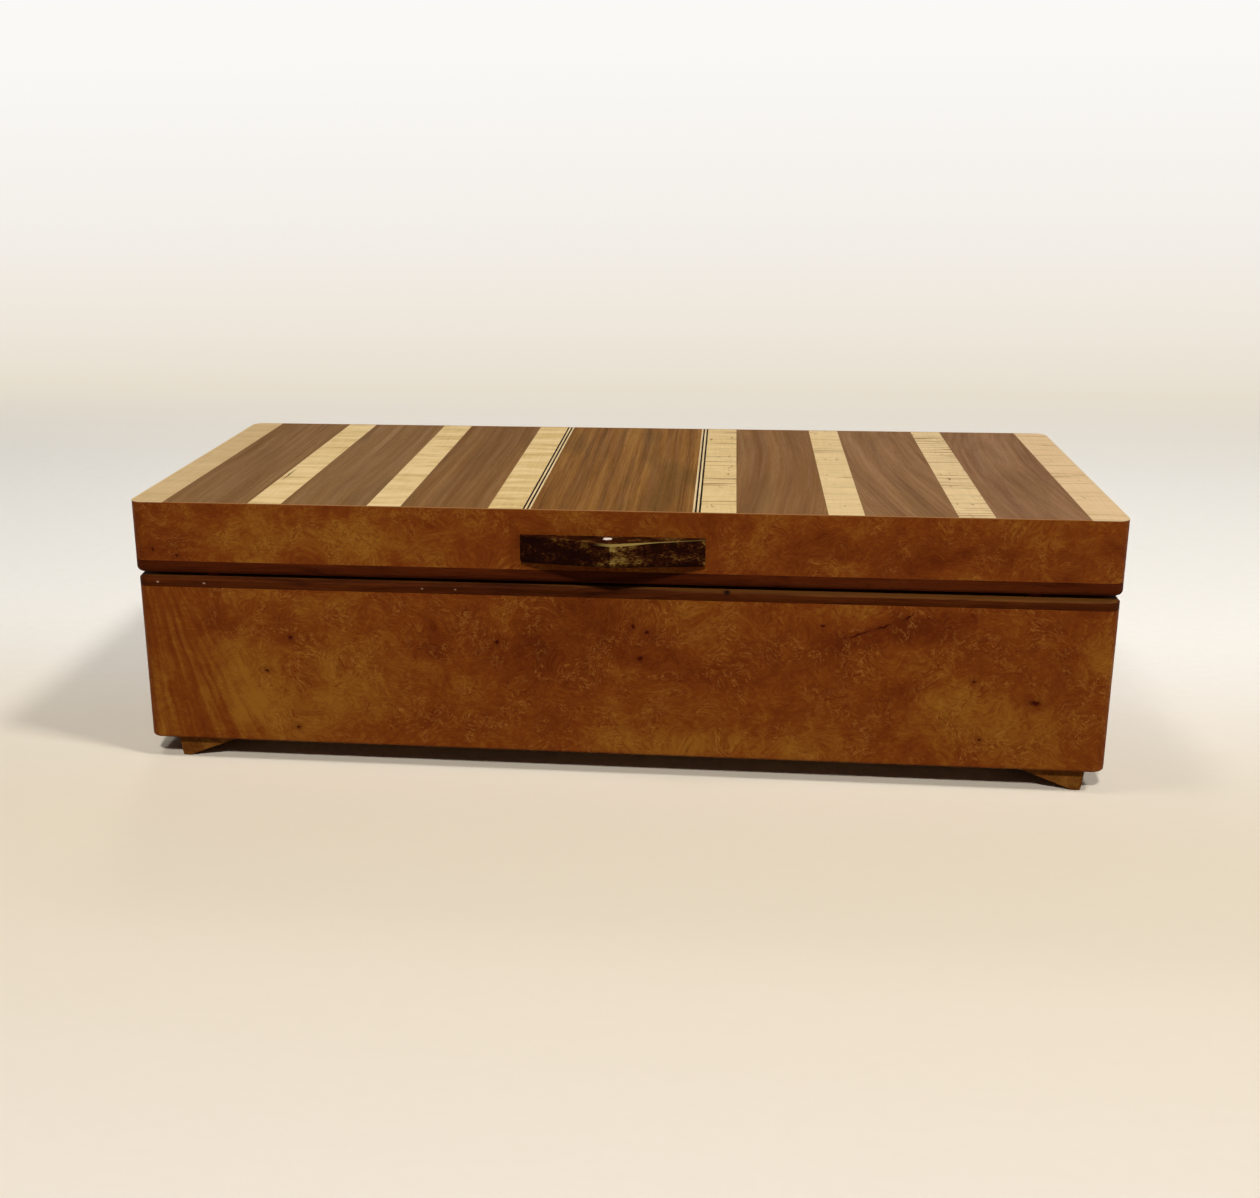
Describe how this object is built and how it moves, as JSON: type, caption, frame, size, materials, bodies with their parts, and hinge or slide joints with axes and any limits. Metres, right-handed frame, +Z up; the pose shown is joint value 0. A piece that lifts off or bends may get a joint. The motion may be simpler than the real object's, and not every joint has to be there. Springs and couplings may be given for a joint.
{
  "type": "keepsake box",
  "caption": "Low burl-wood keepsake box with a hinged lid inlaid with maple and walnut stripes, dark lips at the seam, a wedge handle and wedge feet.",
  "frame": {"origin": "on the surface that the feet stand on, under the middle of the box's outline with its handle", "axes": "+X along the box to the right, +Y from the handle side to the hinge side, +Z up"},
  "size_m": [0.3, 0.139, 0.0855],
  "materials": {
    "burl": "satin varnish over orange-brown burl",
    "dark_lip": "satin varnish over dark red-brown wood",
    "maple": "satin varnish over curly maple",
    "walnut": "satin varnish over walnut",
    "black_line": "black dyed veneer line",
    "white_line": "pale veneer line",
    "plywood": "plain plywood",
    "foot_wood": "satin orange-brown wood",
    "handle_wood": "polished dark figured wood",
    "pale_inlay": "pale polished inlay",
    "dowel_wood": "plain beech",
    "felt": "dark wine felt",
    "brass": "polished brass"
  },
  "bodies": {
    "case": {"case_back_board": "burl", "case_back_lip": "dark_lip", "case_bottom": "plywood", "case_front_board": "burl", "case_front_lip": "dark_lip", "case_hinge_screws": "brass", "case_left_board": "burl", "case_left_lip": "dark_lip", "case_lining": "felt", "case_right_board": "burl", "case_right_lip": "dark_lip", "closing_pads": "felt", "foot_back_left": "foot_wood", "foot_back_right": "foot_wood", "foot_front_left": "foot_wood", "foot_front_right": "foot_wood", "hinge_left_case_leaf": "brass", "hinge_right_case_leaf": "brass"},
    "lid": {"black_lines_left": "black_line", "black_lines_right": "black_line", "handle": "handle_wood", "handle_dowels": "dowel_wood", "handle_inlay_dot": "pale_inlay", "hinge_left_lid_leaf": "brass", "hinge_pins": "brass", "hinge_right_lid_leaf": "brass", "lid_back_board": "burl", "lid_back_lip": "dark_lip", "lid_front_board": "burl", "lid_front_lip": "dark_lip", "lid_hinge_screws": "brass", "lid_left_board": "burl", "lid_left_lip": "dark_lip", "lid_lining": "felt", "lid_panel": "plywood", "lid_right_board": "burl", "lid_right_lip": "dark_lip", "maple_strip_1": "maple", "maple_strip_2": "maple", "maple_strip_3": "maple", "maple_strip_4": "maple", "maple_strip_5": "maple", "maple_strip_6": "maple", "maple_strip_7": "maple", "maple_strip_8": "maple", "walnut_strip_1": "walnut", "walnut_strip_2": "walnut", "walnut_strip_3": "walnut", "walnut_strip_4": "walnut", "walnut_strip_5": "walnut", "walnut_strip_6": "walnut", "walnut_strip_7": "walnut", "white_lines_left": "white_line", "white_lines_right": "white_line"}
  },
  "joints": [
    {"name": "lid_hinge", "type": "hinge", "parent": "case", "child": "lid", "pos_m": [0, 0.0665, 0.06215], "axis": [-1, 0, 0], "range_deg": [0, 95]}
  ]
}
